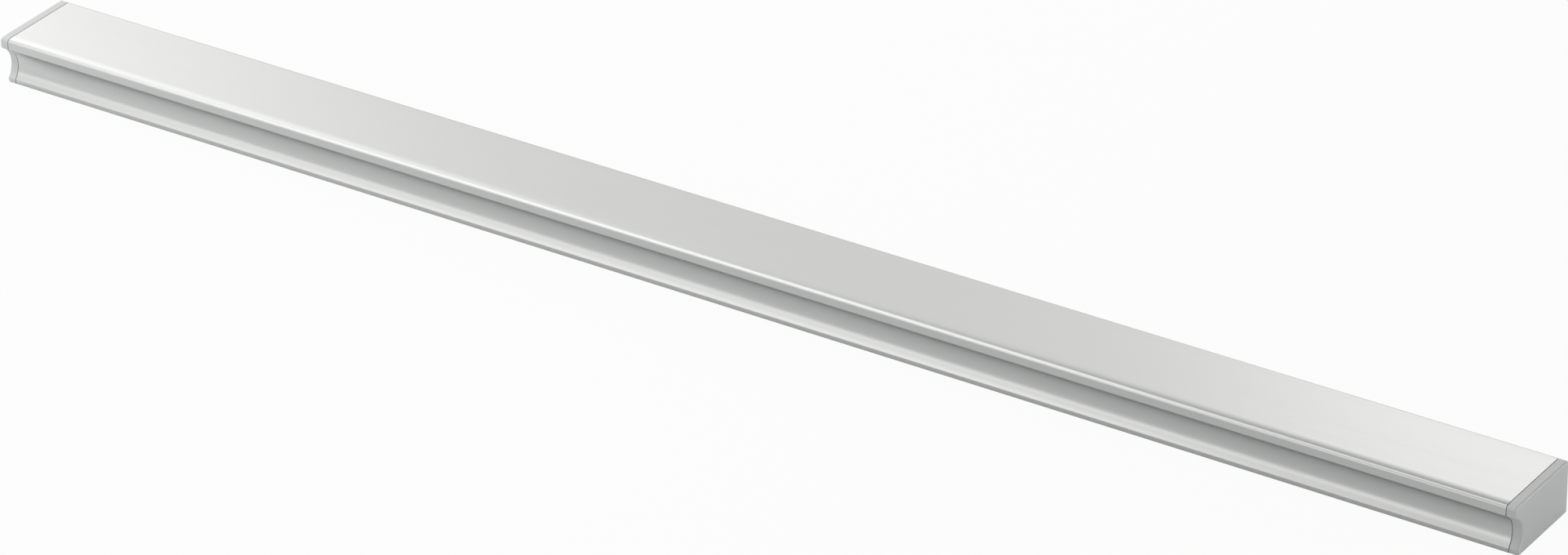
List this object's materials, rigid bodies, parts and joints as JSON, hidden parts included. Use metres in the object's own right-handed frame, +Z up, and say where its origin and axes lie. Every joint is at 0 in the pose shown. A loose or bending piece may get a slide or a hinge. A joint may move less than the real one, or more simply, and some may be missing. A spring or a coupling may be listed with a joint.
{
  "type": "door pull handle",
  "caption": "Long low pull handle: satin aluminium profile with a concave finger groove under a front lip, a flat underside with threaded holes, and grey plastic end caps.",
  "frame": {"origin": "centre of the flat underside's level, midway along the length and midway between the lip's front and the flat back", "axes": "+X along the handle's length, +Y from the finger groove to the flat back, +Z up from the underside to the top face"},
  "size_m": [0.395, 0.0226, 0.0124],
  "materials": {
    "satin_aluminium": "satin anodised, pale silver",
    "grey_plastic": "fine moulded texture, light grey"
  },
  "bodies": {
    "root": {"grip_profile": "satin_aluminium", "end_cap_left": "grey_plastic", "end_cap_right": "grey_plastic"}
  },
  "joints": []
}
